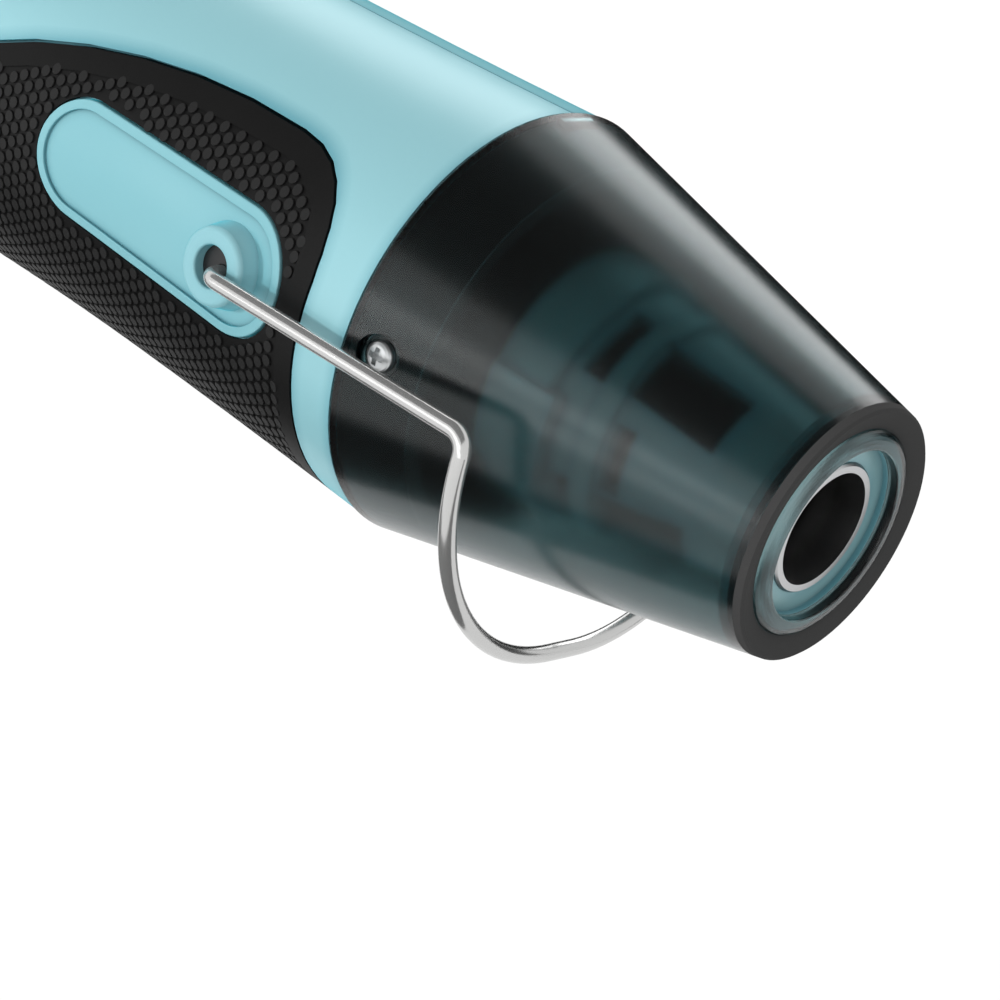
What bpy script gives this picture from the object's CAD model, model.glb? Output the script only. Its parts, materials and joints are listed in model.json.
import json
import math

import bmesh
import bpy
from mathutils import Matrix, Vector
from mathutils.bvhtree import BVHTree


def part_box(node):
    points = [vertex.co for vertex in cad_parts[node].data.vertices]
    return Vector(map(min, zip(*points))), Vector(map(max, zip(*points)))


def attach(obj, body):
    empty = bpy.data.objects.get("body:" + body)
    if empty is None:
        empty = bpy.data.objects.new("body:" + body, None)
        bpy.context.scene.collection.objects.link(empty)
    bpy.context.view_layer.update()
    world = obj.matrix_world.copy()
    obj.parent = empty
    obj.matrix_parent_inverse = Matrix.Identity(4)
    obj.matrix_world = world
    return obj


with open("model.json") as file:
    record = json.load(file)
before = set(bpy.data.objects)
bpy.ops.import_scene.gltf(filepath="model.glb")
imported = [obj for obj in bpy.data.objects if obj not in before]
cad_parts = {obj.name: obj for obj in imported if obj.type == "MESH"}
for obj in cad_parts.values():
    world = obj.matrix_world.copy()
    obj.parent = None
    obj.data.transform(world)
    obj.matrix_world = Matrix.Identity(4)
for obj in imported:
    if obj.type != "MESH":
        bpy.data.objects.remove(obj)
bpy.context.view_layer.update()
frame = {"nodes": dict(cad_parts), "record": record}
nodes = frame["nodes"]
print("frame loaded:", len(nodes), "nodes")

# The view of the photograph: from above the tool's right side, tilted so that the nozzle points down right
view = {
    "from": (0.15490, -0.30106, 0.12058),
    "to": (-0.04096, -0.00612, -0.01745),
    "roll": math.radians(19.92),
    "lens": 108,
    "sensor": 36,
    "clip": (0.01, 10),
}


def makeCamera():
    data = bpy.data.cameras.new("camera")
    data.lens, data.sensor_width = view["lens"], view["sensor"]
    data.clip_start, data.clip_end = view["clip"]
    camera = bpy.data.objects.new("camera", data)
    bpy.context.scene.collection.objects.link(camera)
    sight = Vector(view["to"]) - Vector(view["from"])
    turn = sight.to_track_quat("-Z", "Y").to_matrix().to_4x4()
    camera.matrix_world = Matrix.Translation(view["from"]) @ turn @ Matrix.Rotation(view["roll"], 4, "Z")
    bpy.context.scene.camera = camera


makeCamera()
print("camera set")


class Wire:
    # an output socket that can stand in a sum; each sum adds its Math node
    def __init__(self, paint, socket):
        self.paint, self.socket = paint, socket

    def join(self, operation, first, second):
        return self.paint.node("Math", {"operation": operation}, {0: first, 1: second})

    def __add__(self, other):
        return self.join("ADD", self, other)

    def __mul__(self, other):
        return self.join("MULTIPLY", self, other)

    __radd__, __rmul__ = __add__, __mul__


class Paint:
    # one material's node tree, or the world's
    def __init__(self, name, world=False):
        self.holder = bpy.data.worlds.new(name) if world else bpy.data.materials.new(name)
        self.holder.use_nodes = True
        self.tree = self.holder.node_tree
        self.tree.nodes.clear()

    def node(self, kind, settings=None, sockets=None, out=0):
        made = self.tree.nodes.new("ShaderNode" + kind)
        for name, value in (settings or {}).items():
            setattr(made, name, value)
        for key, value in (sockets or {}).items():
            if isinstance(value, Wire):
                self.tree.links.new(value.socket, made.inputs[key])
            else:
                made.inputs[key].default_value = value
        return Wire(self, made.outputs[out]) if made.outputs else None

    def place(self):
        return self.node("TexCoord", out="Object")

    def noise(self, scale, detail=2.0, rough=0.5, stretch=None):
        # a stretch under 1 on an axis draws the pattern out along it
        where = self.place()
        if stretch:
            where = self.node("Mapping", sockets={"Vector": where, "Scale": stretch})
        return self.node("TexNoise", sockets={
            "Vector": where, "Scale": scale, "Detail": detail, "Roughness": rough})

    def spread(self, wire, low, high):
        # from 0..1 to low..high
        return wire * (high - low) + low

    def step(self, wire, edge):
        # 1 above the edge
        return self.node("Math", {"operation": "GREATER_THAN"}, {0: wire, 1: edge})

    def mix(self, share, first, second):
        return self.node("Mix", {"data_type": "RGBA"}, {0: share, 6: first, 7: second}, out=2)

    def bump(self, height, depth, strength=0.5, normal=None):
        sockets = {"Height": height, "Distance": depth, "Strength": strength}
        if normal:
            sockets["Normal"] = normal
        return self.node("Bump", sockets=sockets)

    def hollow(self, reach, inside=False):
        # low in corners, or inside near edges, of the piece itself
        near = {"samples": 8, "inside": inside, "only_local": True}
        return self.node("AmbientOcclusion", near, {"Distance": reach}, out="AO")

    def soften(self, radius):
        return self.node("Bevel", {"samples": 6}, {"Radius": radius})

    def shader(self, **sockets):
        named = {key.replace("_", " "): value for key, value in sockets.items()}
        return self.node("BsdfPrincipled", sockets=named)

    def output(self, surface, volume=None):
        kind = "OutputWorld" if isinstance(self.holder, bpy.types.World) else "OutputMaterial"
        sockets = {"Surface": surface}
        if volume:
            sockets["Volume"] = volume
        self.node(kind, sockets=sockets)
        return self.holder


def linear(value):
    value /= 255
    return value / 12.92 if value <= 0.04045 else ((value + 0.055) / 1.055) ** 2.4


def rgb(red, green, blue):
    return (linear(red), linear(green), linear(blue), 1)


# Light blue moulded plastic of the body: a clear gloss whose colour deepens at the edges
bodyBlue = {
    "pale": rgb(186, 224, 229),
    "deep": rgb(178, 218, 225),
    "cloudScale": 14,
    "crevice": rgb(36, 84, 98),
    "creviceReach": 0.0014,
    "edge": rgb(106, 172, 186),
    "edgeReach": 0.0019,
    "roughness": 0.42,
    "roughnessSpread": 0.03,
    "softening": 0.00015,
    "coat": 0.6,
    "coatRoughness": 0.32,
    "coatTint": rgb(205, 245, 250),
    "sheen": 1.0,
    "sheenRoughness": 0.3,
    "sheenTint": rgb(0, 200, 220),
    "grainScale": 4200,
    "grainDepth": 0.000012,
}
# What the neck and the panels have instead; the panels are thin all over, so their edges are hardly deeper
neckBlue = {
    "pale": rgb(182, 206, 207),
    "deep": rgb(172, 198, 200),
    "roughness": 0.3,
    "softening": 0.0003,
    "sheen": 0,
}
panelBlue = {"edge": rgb(146, 199, 207)}


def bluePlastic(name, changes):
    blue = {**bodyBlue, **changes}
    paint = Paint(name)
    cloud = paint.noise(blue["cloudScale"], detail=3)
    grain = paint.noise(blue["grainScale"], detail=1)
    rim = paint.hollow(blue["edgeReach"], inside=True)
    colour = paint.mix(rim, blue["edge"], paint.mix(cloud, blue["pale"], blue["deep"]))
    colour = paint.mix(paint.hollow(blue["creviceReach"]), blue["crevice"], colour)
    low, high = blue["roughness"] - blue["roughnessSpread"], blue["roughness"] + blue["roughnessSpread"]
    return paint.output(paint.shader(
        Base_Color=colour,
        Roughness=paint.spread(grain, low, high),
        Normal=paint.bump(grain, blue["grainDepth"], normal=paint.soften(blue["softening"])),
        Coat_Weight=blue["coat"], Coat_Roughness=blue["coatRoughness"], Coat_Tint=blue["coatTint"],
        Sheen_Weight=blue["sheen"], Sheen_Roughness=blue["sheenRoughness"], Sheen_Tint=blue["sheenTint"]))


# Soft black rubber, matt with a fine moulded grain
rubber = {
    "patchScale": 90,
    "grainScale": 3600,
    "grainDepth": 0.00002,
    "grainStrength": 0.6,
    "roughness": (0.5, 0.62),
    "gloss": 0.2,
}


def blackRubber(name, light, dark):
    paint = Paint(name)
    grain = paint.noise(rubber["grainScale"])
    patch = paint.noise(rubber["patchScale"], detail=3)
    return paint.output(paint.shader(
        Base_Color=paint.mix(patch, light, dark), Specular_IOR_Level=rubber["gloss"],
        Roughness=paint.spread(grain, *rubber["roughness"]),
        Normal=paint.bump(grain, rubber["grainDepth"], rubber["grainStrength"])))


# Smoky see-through plastic of the guard: rough on both sides, with the colour in its depth
smoke = {
    "tint": rgb(222, 226, 226),
    "absorbs": rgb(44, 158, 164),
    "density": 470,
    "refraction": 1.5,
    "hazeScale": 60,
    "roughness": (0.2, 0.26),
    "rimFrom": 0.0006,  # the front rim is matt: ahead of this x and outside this radius
    "rimRadius": 0.01397,
    "rimLight": rgb(80, 80, 80),
    "rimDark": rgb(72, 72, 72),
    "rimGloss": 0.1,
    "grainScale": 5200,
    "grainDepth": 0.00002,
}


def smokyPlastic(name):
    paint = Paint(name)
    haze = paint.noise(smoke["hazeScale"], detail=3)
    clear = paint.shader(
        Base_Color=smoke["tint"], Transmission_Weight=1.0, IOR=smoke["refraction"],
        Roughness=paint.spread(haze, *smoke["roughness"]))
    grain = paint.noise(smoke["grainScale"])
    matt = paint.shader(
        Base_Color=paint.mix(grain, smoke["rimLight"], smoke["rimDark"]), Roughness=1.0,
        Specular_IOR_Level=smoke["rimGloss"], Normal=paint.bump(grain, smoke["grainDepth"]))
    x = paint.node("SeparateXYZ", sockets={0: paint.place()}, out="X")
    flat = paint.node("Mapping", sockets={"Vector": paint.place(), "Scale": (0, 1, 1)})
    radius = paint.node("VectorMath", {"operation": "LENGTH"}, {0: flat}, out="Value")
    rim = paint.step(x, smoke["rimFrom"]) * paint.step(radius, smoke["rimRadius"])
    surface = paint.node("MixShader", sockets={0: rim, 1: clear, 2: matt})
    depth = {"Color": smoke["absorbs"], "Density": smoke["density"]}
    return paint.output(surface, paint.node("VolumeAbsorption", sockets=depth))


# Plain moulded plastic, a little cloudy
plain = {
    "paler": 1.25,
    "patchScale": 60,
    "roughnessBelow": 0.05,
    "roughnessAbove": 0.08,
    "softening": 0.00025,
    "grainScale": 2600,
    "grainDepth": 0.000015,
}


def plainPlastic(name, colour, roughness, grainScale=plain["grainScale"], grainDepth=plain["grainDepth"]):
    paint = Paint(name)
    grain = paint.noise(grainScale)
    patch = paint.noise(plain["patchScale"], detail=3)
    light = tuple(min(1, plain["paler"] * c) for c in colour[:3]) + (1,)
    low, high = roughness - plain["roughnessBelow"], roughness + plain["roughnessAbove"]
    return paint.output(paint.shader(
        Base_Color=paint.mix(patch, colour, light),
        Roughness=paint.spread(grain, low, high),
        Normal=paint.bump(grain, grainDepth, normal=paint.soften(plain["softening"]))))


# Brushed steel and brass, with darker stains
brushed = {
    "darker": 0.7,
    "stainScale": 70,
    "scratchScale": 900,
    "scratchRough": 0.6,
    "scratchDepth": 0.000006,
    "roughnessBelow": 0.08,
    "roughnessAbove": 0.1,
}


def brushedMetal(name, colour, roughness, stretch=None):
    paint = Paint(name)
    scratch = paint.noise(brushed["scratchScale"], detail=4, rough=brushed["scratchRough"], stretch=stretch)
    stain = paint.noise(brushed["stainScale"], detail=3)
    dark = tuple(brushed["darker"] * c for c in colour[:3]) + (1,)
    low, high = roughness - brushed["roughnessBelow"], roughness + brushed["roughnessAbove"]
    return paint.output(paint.shader(
        Base_Color=paint.mix(stain, colour, dark), Metallic=1.0,
        Roughness=paint.spread(scratch, low, high),
        Normal=paint.bump(scratch, brushed["scratchDepth"])))


# Outlet tube: bright at the mouth, blackened and rougher from the heat further in
outlet = {
    "brightTo": -0.0035,
    "darkFrom": -0.0075,
    "bright": rgb(190, 191, 192),
    "dark": rgb(30, 28, 27),
    "darkRougher": 0.3,
    "scratchScale": 400,
    "stretch": (0.06, 1, 1),
    "roughness": (0.26, 0.34),
}


def heatedSteel(name):
    paint = Paint(name)
    scratch = paint.noise(outlet["scratchScale"], stretch=outlet["stretch"])
    x = paint.node("SeparateXYZ", sockets={0: paint.place()}, out="X")
    bright = paint.node("MapRange", sockets={
        "Value": x, "From Min": outlet["darkFrom"], "From Max": outlet["brightTo"]})
    roughness = paint.spread(scratch, *outlet["roughness"])
    return paint.output(paint.shader(
        Base_Color=paint.mix(bright, outlet["dark"], outlet["bright"]), Metallic=1.0,
        Roughness=roughness + paint.spread(bright, outlet["darkRougher"], 0)))


# Polished chrome of the wire stand
polished = {"colour": rgb(208, 208, 207), "metallic": 0.75, "hazeScale": 160, "roughness": (0.16, 0.22)}


def chrome(name):
    paint = Paint(name)
    haze = paint.noise(polished["hazeScale"], detail=3)
    return paint.output(paint.shader(
        Base_Color=polished["colour"], Metallic=polished["metallic"],
        Roughness=paint.spread(haze, *polished["roughness"])))


# Mica of the sleeve and the plates, dark from the heat
flakes = {
    "light": rgb(33, 29, 25),
    "dark": rgb(20, 18, 15),
    "cloudScale": 220,
    "scale": 420,
    "depth": 0.00003,
    "roughness": (0.25, 0.55),
}


def flakyMica(name):
    paint = Paint(name)
    flake = paint.node("TexVoronoi", sockets={"Vector": paint.place(), "Scale": flakes["scale"]})
    cloud = paint.noise(flakes["cloudScale"], detail=4)
    return paint.output(paint.shader(
        Base_Color=paint.mix(cloud, flakes["light"], flakes["dark"]),
        Roughness=paint.spread(flake, *flakes["roughness"]),
        Normal=paint.bump(flake, flakes["depth"])))


# Varnished copper wire between the iron sheets of the armature
turns = {
    "crest": rgb(120, 62, 34),
    "gap": rgb(184, 104, 60),
    "scale": 900,
    "depth": 0.00006,
    "strength": 0.6,
    "metallic": 0.9,
    "roughness": (0.25, 0.45),
}


def windings(name):
    paint = Paint(name)
    wave = paint.node("TexWave", {"bands_direction": "X"}, {
        "Vector": paint.place(), "Scale": turns["scale"]})
    return paint.output(paint.shader(
        Base_Color=paint.mix(wave, turns["gap"], turns["crest"]), Metallic=turns["metallic"],
        Roughness=paint.spread(wave, *turns["roughness"]),
        Normal=paint.bump(wave, turns["depth"], turns["strength"])))


# Varnished circuit board with its printed tracks
tracks = {
    "resin": rgb(20, 84, 44),
    "resinPatch": rgb(16, 70, 38),
    "line": rgb(40, 116, 66),
    "lineWidth": 0.03,
    "scale": 160,
    "roughness": 0.35,
}


def boardResin(name):
    paint = Paint(name)
    pattern = paint.node("TexBrick", {"offset": 0.5}, {
        "Vector": paint.place(), "Scale": tracks["scale"], "Color1": tracks["resin"],
        "Color2": tracks["resinPatch"], "Mortar": tracks["line"], "Mortar Size": tracks["lineWidth"]})
    return paint.output(paint.shader(Base_Color=pattern, Roughness=tracks["roughness"]))


# Heating wire, dull with scale
scaled = {
    "light": rgb(56, 52, 50),
    "dark": rgb(30, 27, 26),
    "crustScale": 900,
    "crustDepth": 0.00002,
    "metallic": 0.8,
    "roughness": (0.35, 0.6),
}


def hotWire(name):
    paint = Paint(name)
    crust = paint.noise(scaled["crustScale"], detail=4)
    return paint.output(paint.shader(
        Base_Color=paint.mix(crust, scaled["light"], scaled["dark"]), Metallic=scaled["metallic"],
        Roughness=paint.spread(crust, *scaled["roughness"]),
        Normal=paint.bump(crust, scaled["crustDepth"])))


finishes = {
    "shell_plastic": bluePlastic("shell_plastic", {}),
    "neck_plastic": bluePlastic("neck_plastic", neckBlue),
    "grip_rubber": blackRubber("grip_rubber", light=rgb(17, 17, 17), dark=rgb(11, 11, 11)),
    "smoky_plastic": smokyPlastic("smoky_plastic"),
    "black_plastic": plainPlastic("black_plastic", rgb(30, 30, 31), roughness=0.42),
    "white_plastic": plainPlastic("white_plastic", rgb(226, 224, 214), roughness=0.4),
    "gland_rubber": blackRubber("gland_rubber", light=rgb(32, 32, 32), dark=rgb(24, 24, 24)),
    "tube_steel": brushedMetal("tube_steel", rgb(206, 204, 200), roughness=0.26, stretch=(0.06, 1, 1)),
    "screw_steel": brushedMetal("screw_steel", rgb(228, 231, 232), roughness=0.36),
    "stand_chrome": chrome("stand_chrome"),
    "mica": flakyMica("mica"),
    "coil_wire": hotWire("coil_wire"),
    "brass": brushedMetal("brass", rgb(214, 172, 96), roughness=0.28, stretch=(1, 1, 0.1)),
    "copper": windings("copper"),
    "board": boardResin("board"),
    "capacitor_sleeve": plainPlastic(
        "capacitor_sleeve", rgb(28, 40, 96), roughness=0.3, grainScale=500, grainDepth=0.00001),
    "lead_sleeve": plainPlastic(
        "lead_sleeve", rgb(150, 26, 24), roughness=0.4, grainScale=900, grainDepth=0.00001),
}

for part in frame["record"]["subparts"]:
    for slot in nodes[part["node"]].material_slots:
        slot.material = finishes[part["material_slot"]]
nodes["outlet_tube"].material_slots[0].material = heatedSteel("outlet_steel")
print("finishes made:", len(finishes))

# Rays that find where a surface lies, sent from outside the body towards its axis
probe = {
    "start": 0.05,
    "skinAngle": math.radians(80),  # meets the shell above the grip's pocket
}


def surfaceOf(name):
    # what rays hit on a node
    bm = bmesh.new()
    bm.from_mesh(nodes[name].data)
    tree = BVHTree.FromBMesh(bm)
    bm.free()
    return tree


def outward(side, angle):
    # direction out of the axis at an angle above the side of the tool
    return Vector((0, side * math.cos(angle), math.sin(angle)))


def hit(surface, x, side, angle):
    # the place and normal where the surface lies there, or None for both
    out = outward(side, angle)
    return surface.ray_cast(Vector((x, 0, 0)) + out * probe["start"], -out)[:2]


def radius(spot):
    return math.hypot(spot.y, spot.z)


def skinRadius(shell, x, side):
    # the shell's own radius there, as if it had no pocket for the grip
    return radius(hit(shell, x, side, probe["skinAngle"])[0])


def addObject(name, bm, material):
    # makes the object of a finished bmesh
    mesh = bpy.data.meshes.new(name)
    bm.to_mesh(mesh)
    bm.free()
    mesh.materials.append(material)
    made = bpy.data.objects.new(name, mesh)
    bpy.context.scene.collection.objects.link(made)
    return made


# Raised oval panel in each grip's opening: a lip round a lower floor, on which the pivot boss stands
panel = {
    "rear": (-0.10645, 0),  # centres of the two arcs, x along the tool and y up
    "front": (-0.07575, -0.0008),
    "rearRadius": 0.008,
    "frontRadius": 0.0086,
    "lip": 0.0013,
    "deep": 0.0005,
    "foot": 0.00135,
    "boss": (-0.07675, -0.0009),
    "bossHole": 0.0044,
    "rounding": 0.00014,
    "corner": 0.3,  # share of the rounding that is left at its middle
    "steps": 32,
    "floorRings": 24,
    "weld": 0.000001,
}
panelPlastic = bluePlastic("panel_plastic", panelBlue)


def ovalOutline(margin):
    # two arcs and the lines between them
    rear, front = Vector(panel["rear"]), Vector(panel["front"])
    slope = math.atan2(front.y - rear.y, front.x - rear.x)
    spread = math.acos((panel["rearRadius"] - panel["frontRadius"]) / (front - rear).length)
    steps = panel["steps"]

    def arc(centre, size, first, last):
        angles = [slope + first + (last - first) * i / steps for i in range(steps + 1)]
        return [centre + (size + margin) * Vector((math.cos(angle), math.sin(angle))) for angle in angles]

    def line(first, last):
        return [first.lerp(last, i / steps) for i in range(1, steps)]

    ahead = arc(front, panel["frontRadius"], -spread, spread)
    behind = arc(rear, panel["rearRadius"], spread, math.tau - spread)
    return ahead + line(ahead[-1], behind[0]) + behind + line(behind[-1], ahead[0])


def panelRings():
    # (outline, height against the skin), from the foot over the lip and the floor to the boss and back
    lip, deep, foot, soft = panel["lip"], panel["deep"], panel["foot"], panel["rounding"]
    corner = panel["corner"] * soft
    profile = [(0, -foot), (0, -soft), (-corner, -corner), (-soft, 0),
               (soft - lip, 0), (corner - lip, -corner), (-lip, -soft), (-lip, -deep)]
    rings = [(ovalOutline(margin), height) for margin, height in profile]
    edge, boss = rings[-1][0], Vector(panel["boss"])
    hole = [boss + panel["bossHole"] * (spot - boss).normalized() for spot in edge]
    for step in range(1, panel["floorRings"] + 1):
        share = step / panel["floorRings"]
        rings.append(([a.lerp(b, share) for a, b in zip(edge, hole)], -deep))
    return rings + [(hole, -foot), rings[0]]


def makePanel(name, side, shellName):
    # a grid with a row for each ring, bent round the body and welded where its ends meet
    shell, rings = surfaceOf(shellName), panelRings()
    bm = bmesh.new()
    bmesh.ops.create_grid(bm, x_segments=len(rings[0][0]), y_segments=len(rings) - 1, size=0.5)
    places = [(spot, height) for outline, height in rings for spot in outline + outline[:1]]
    for vert, (spot, height) in zip(bm.verts, places):
        reach = skinRadius(shell, spot.x, side) + height
        vert.co = (spot.x, side * math.sqrt(reach * reach - spot.y * spot.y), spot.y)
    bmesh.ops.remove_doubles(bm, verts=bm.verts, dist=panel["weld"])
    bmesh.ops.recalc_face_normals(bm, faces=bm.faces)
    made = addObject(name, bm, panelPlastic)
    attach(made, "housing")
    print(name, "made with", len(made.data.polygons), "faces")


makePanel("right_panel", -1, "right_shell")
makePanel("left_panel", 1, "left_shell")

# Raised dots of the grips, in columns along the tool that are staggered by half a step
dots = {
    "column": 0.001545,
    "step": 0.00202,
    "across": 0.00142,
    "along": 0.00162,
    "height": 0.00028,
    "rounding": 0.00006,
    "roundingSteps": 2,
    "sides": 12,
    "underside": -0.9,  # faces that look down by more than this are left out
    "floorDepth": 0.00025,  # of the grip's dotted part, below the shell's skin
    "floorError": 0.00012,  # a dot stands within this of that depth
    "edgeDrop": 0.0002,  # the grip falls away by more than this at its edge
    "overEdge": 0.0001,  # a dot may stand this far past the edge
    "probes": 8,
    "firstX": -0.0805,
    "firstArc": 0.01217,  # round the body, up from its side
    "bodyRadius": 0.0285,  # turns a length round the body into an angle
}
dotRubber = blackRubber("dot_rubber", light=rgb(40, 40, 40), dark=rgb(32, 32, 32))


def makeDot():
    bm = bmesh.new()
    bmesh.ops.create_circle(bm, cap_ends=True, segments=dots["sides"], radius=0.5)
    bmesh.ops.scale(bm, vec=(dots["across"], dots["along"], 1), verts=bm.verts)
    walls = bmesh.ops.extrude_face_region(bm, geom=bm.faces[:])
    top = [g for g in walls["geom"] if isinstance(g, bmesh.types.BMVert)]
    bmesh.ops.translate(bm, vec=(0, 0, dots["height"]), verts=top)
    rim = [e for e in bm.edges if all(v in top for v in e.verts)]
    bmesh.ops.bevel(bm, geom=rim, affect="EDGES", offset=dots["rounding"],
                    segments=dots["roundingSteps"], profile=0.5, material=-1)
    under = [f for f in bm.faces if f.normal.z < dots["underside"]]
    bmesh.ops.delete(bm, geom=under, context="FACES")
    mesh = bpy.data.meshes.new("dot")
    bm.to_mesh(mesh)
    bm.free()
    return mesh


def dotPlace(surface, x, side, angle, floor):
    # turns and moves a dot onto the grip's floor, or None where the floor doesn't carry it
    spot, normal = hit(surface, x, side, angle)
    if spot is None or abs(radius(spot) - floor) > dots["floorError"]:
        return None
    reach = dots["across"] / 2 - dots["overEdge"]
    bend = reach / dots["bodyRadius"]
    for i in range(dots["probes"]):
        turn = i * math.tau / dots["probes"]
        near = hit(surface, x + reach * math.cos(turn), side, angle + bend * math.sin(turn))[0]
        if near is None or radius(near) < floor - dots["edgeDrop"]:
            return None
    out = outward(side, angle)
    slope = Vector((normal.x, 0, 0)) + out * normal.dot(out)
    up = slope.normalized()
    along = Vector((0, -side * math.sin(angle), math.cos(angle)))
    axes = Matrix((along.cross(up), along, up)).transposed().to_4x4()
    return Matrix.Translation(spot) @ axes


def makeDots(name, side, grip, shell):
    dot = makeDot()
    bm = bmesh.new()
    low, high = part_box(grip)
    surface, body = surfaceOf(grip), surfaceOf(shell)
    quarter = math.pi / 2 * dots["bodyRadius"]  # from the side of the body to its top or bottom
    firstColumn = math.floor((low[0] - dots["firstX"]) / dots["column"])
    lastColumn = math.ceil((high[0] - dots["firstX"]) / dots["column"])
    firstRow = math.floor((-quarter - dots["firstArc"]) / dots["step"])
    lastRow = math.ceil((quarter - dots["firstArc"]) / dots["step"])
    count = 0
    for column in range(firstColumn, lastColumn + 1):
        x = dots["firstX"] + column * dots["column"]
        floor = skinRadius(body, x, side) - dots["floorDepth"]
        shift = 0.5 * (column % 2)
        for row in range(firstRow, lastRow + 1):
            arc = dots["firstArc"] + (row + shift) * dots["step"]
            if abs(arc) >= quarter:
                continue
            here = dotPlace(surface, x, side, arc / dots["bodyRadius"], floor)
            if here is None:
                continue
            dot.transform(here)
            bm.from_mesh(dot)
            dot.transform(here.inverted())
            count += 1
    made = addObject(name, bm, dotRubber)
    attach(made, "housing")
    print(name, "has", count, "dots")


makeDots("right_grip_dots", -1, "right_grip", "right_shell")
makeDots("left_grip_dots", 1, "left_grip", "left_shell")

# Floor, world, lamps and cards; places are metres from the middle of the tool, in its own axes
studio = {
    "middle": (-0.06, 0, 0),
    "background": (1, 1, 1, 1),
    "ambient": (0.57, 0.57, 0.57, 1),
    "floorSize": (6, 6),
    "floorColour": (0.88, 0.88, 0.88, 1),
    "floorShare": 0.94,  # how much of the background the floor gives to the rays that see it directly
    "floorGlow": 1.05,
    "standClear": 0.0005,
}
lamps = {
    "key": {"place": (-0.29, -0.51, -0.012), "size": (0.04, 0.03), "power": 0.95, "glossy": False},
    "side": {"place": (-0.1, -0.7, 0.02), "size": (0.7, 0.09), "power": 0.36},
    "low": {"place": (-0.04, -0.21, -0.033), "size": (0.32, 0.14), "power": 0.19, "flat": True},
    "top": {"place": (-0.46, 0.63, 0.62), "size": (0.9, 0.48), "power": 2.9},
}
cards = {
    "above": {"place": (-0.12, -0.44, 0.9), "size": (2.4, 1.5), "glow": 0.12},
    "behind": {"place": (-0.35, 1.0, 0.1), "size": (2.6, 0.55), "glow": 0},
}
# Cards that lie just below the tool, from one corner (x, y) to the other in the tool's own frame
floorCards = {
    "front": {"from": (-0.4, -0.045), "to": (0.1, -0.021), "glow": 0.1},
    "back": {"from": (-0.9, 0.03), "to": (0.0, 0.9), "glow": 0},
}
floorCardHeight = -0.0342


def floorLevel():
    # below the stand's loop wherever it swings
    joints = {joint["name"]: joint for joint in frame["record"]["behaviour"]["joints"]}
    pivotX, _, pivotZ = joints["stand_swing"]["pos_m"]
    points = [vert.co for vert in nodes["stand_wire"].data.vertices]
    reach = max(math.hypot(point.x - pivotX, point.z - pivotZ) for point in points)
    return pivotZ - reach - studio["standClear"]


def inWorld(place):
    return Vector(studio["middle"]) + Vector(place)


def facing(place):
    towards = Vector(studio["middle"]) - place
    return Matrix.Translation(place) @ towards.to_track_quat("-Z", "Y").to_matrix().to_4x4()


def softbox(name, place, size, power, glossy=True, flat=False):
    # faces the tool, or lies flat on the floor and shines up
    data = bpy.data.lights.new(name, "AREA")
    data.shape, data.size, data.size_y = "RECTANGLE", size[0], size[1]
    data.energy = power
    lamp = bpy.data.objects.new(name, data)
    bpy.context.scene.collection.objects.link(lamp)
    up = Matrix.Rotation(math.pi, 4, "X")
    lamp.matrix_world = Matrix.Translation(inWorld(place)) @ up if flat else facing(inWorld(place))
    lamp.visible_glossy = glossy
    lamp.visible_camera = False


def plane(name, matrix, size, material):
    bm = bmesh.new()
    bmesh.ops.create_grid(bm, x_segments=1, y_segments=1, size=0.5)
    bmesh.ops.scale(bm, vec=(size[0], size[1], 1), verts=bm.verts)
    bmesh.ops.transform(bm, matrix=matrix, verts=bm.verts)
    made = addObject(name, bm, material)
    return made


def dimCard(name, matrix, size, glow):
    # seen only in reflections and through the guard
    paint = Paint(name)
    glowing = paint.node("Emission", sockets={"Color": (glow, glow, glow, 1)})
    made = plane(name, matrix, size, paint.output(glowing))
    made.visible_camera = made.visible_diffuse = made.visible_shadow = False


def seenDirectly(paint):
    # 1 for the rays that should meet the background
    kinds = ("Is Camera Ray", "Is Glossy Ray", "Is Transmission Ray")
    camera, glossy, through = [paint.node("LightPath", out=kind) for kind in kinds]
    return paint.node("Clamp", sockets={0: camera + glossy + through})


def makeWorld():
    paint = Paint("world", world=True)
    dim = paint.node("Background", sockets={"Color": studio["ambient"]})
    white = paint.node("Background", sockets={"Color": studio["background"]})
    surface = paint.node("MixShader", sockets={0: seenDirectly(paint), 1: dim, 2: white})
    bpy.context.scene.world = paint.output(surface)


def makeFloor():
    # keeps the tool's shadow, and is clear from below
    paint = Paint("floor")
    share = seenDirectly(paint) * studio["floorShare"]
    pale = paint.node("BsdfDiffuse", sockets={"Color": studio["floorColour"]})
    white = paint.node("Emission", sockets={"Color": studio["background"], "Strength": studio["floorGlow"]})
    above = paint.node("MixShader", sockets={0: share, 1: pale, 2: white})
    below = paint.node("NewGeometry", out="Backfacing")
    clear = paint.node("BsdfTransparent")
    surface = paint.node("MixShader", sockets={0: below, 1: above, 2: clear})
    level = Matrix.Translation((studio["middle"][0], 0, floorLevel()))
    plane("floor", level, studio["floorSize"], paint.output(surface))


def makeStudio():
    for name, lamp in lamps.items():
        softbox(name, **lamp)
    makeWorld()
    makeFloor()
    for name, card in cards.items():
        dimCard("card_" + name, facing(inWorld(card["place"])), card["size"], card["glow"])
    for name, card in floorCards.items():
        low, high = card["from"], card["to"]
        middle = Matrix.Translation(((low[0] + high[0]) / 2, (low[1] + high[1]) / 2, floorCardHeight))
        dimCard("card_floor_" + name, middle, (high[0] - low[0], high[1] - low[1]), card["glow"])


makeStudio()
bpy.context.scene.view_settings.view_transform = "Standard"
print("studio lit")
